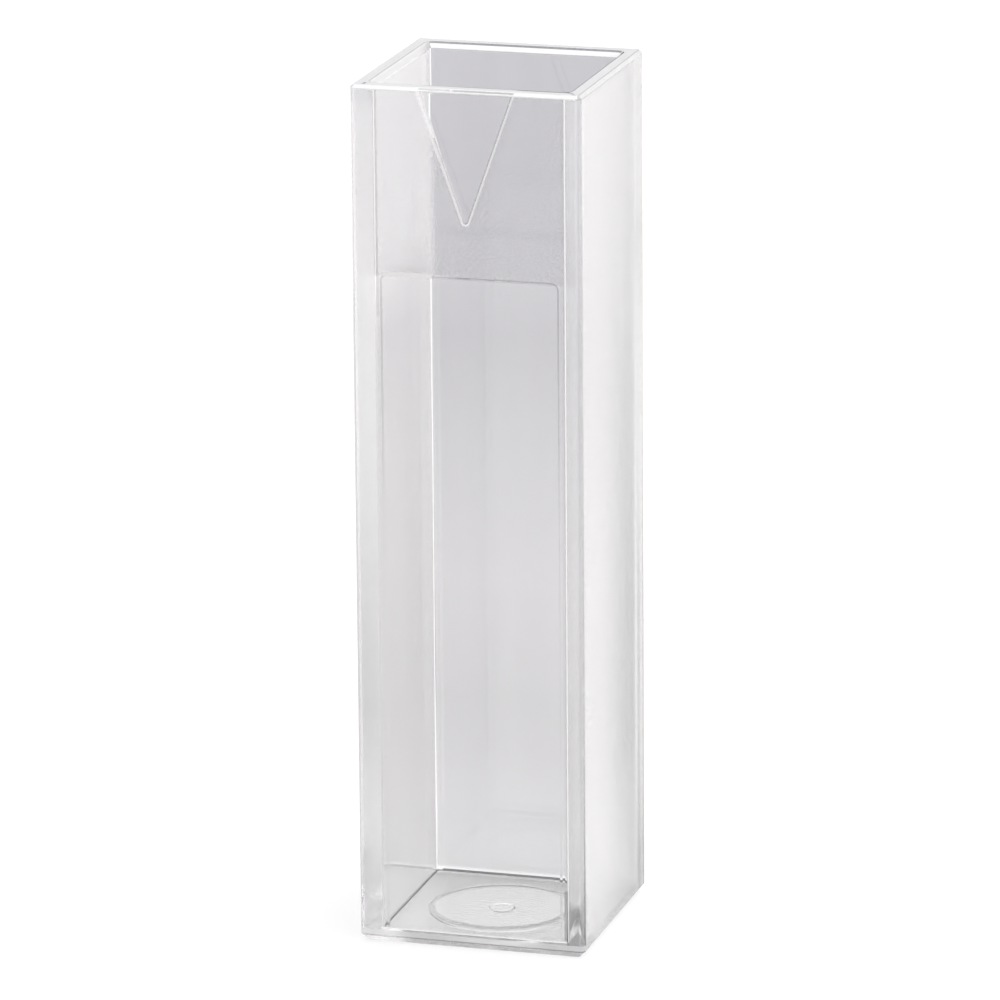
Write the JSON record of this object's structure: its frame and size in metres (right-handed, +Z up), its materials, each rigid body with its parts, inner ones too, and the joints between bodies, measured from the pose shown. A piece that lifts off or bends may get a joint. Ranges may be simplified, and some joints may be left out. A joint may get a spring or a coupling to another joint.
{
  "type": "cuvette",
  "caption": "Square clear plastic cuvette with an open mouth, polished front and back windows, frosted sides and a V-shaped direction mark.",
  "frame": {"origin": "centre of the square foot, on the surface that the cuvette stands on", "axes": "+Z up along the tube to the open mouth, -Y out through the front window, which carries the V-shaped mark, +X and -X out through the frosted sides"},
  "size_m": [0.012, 0.012, 0.045],
  "materials": {
    "clear_polystyrene": "clear and polished at the windows, finely frosted on the sides and on the band round the V mark"
  },
  "bodies": {
    "root": {"cuvette": "clear_polystyrene"}
  },
  "joints": []
}
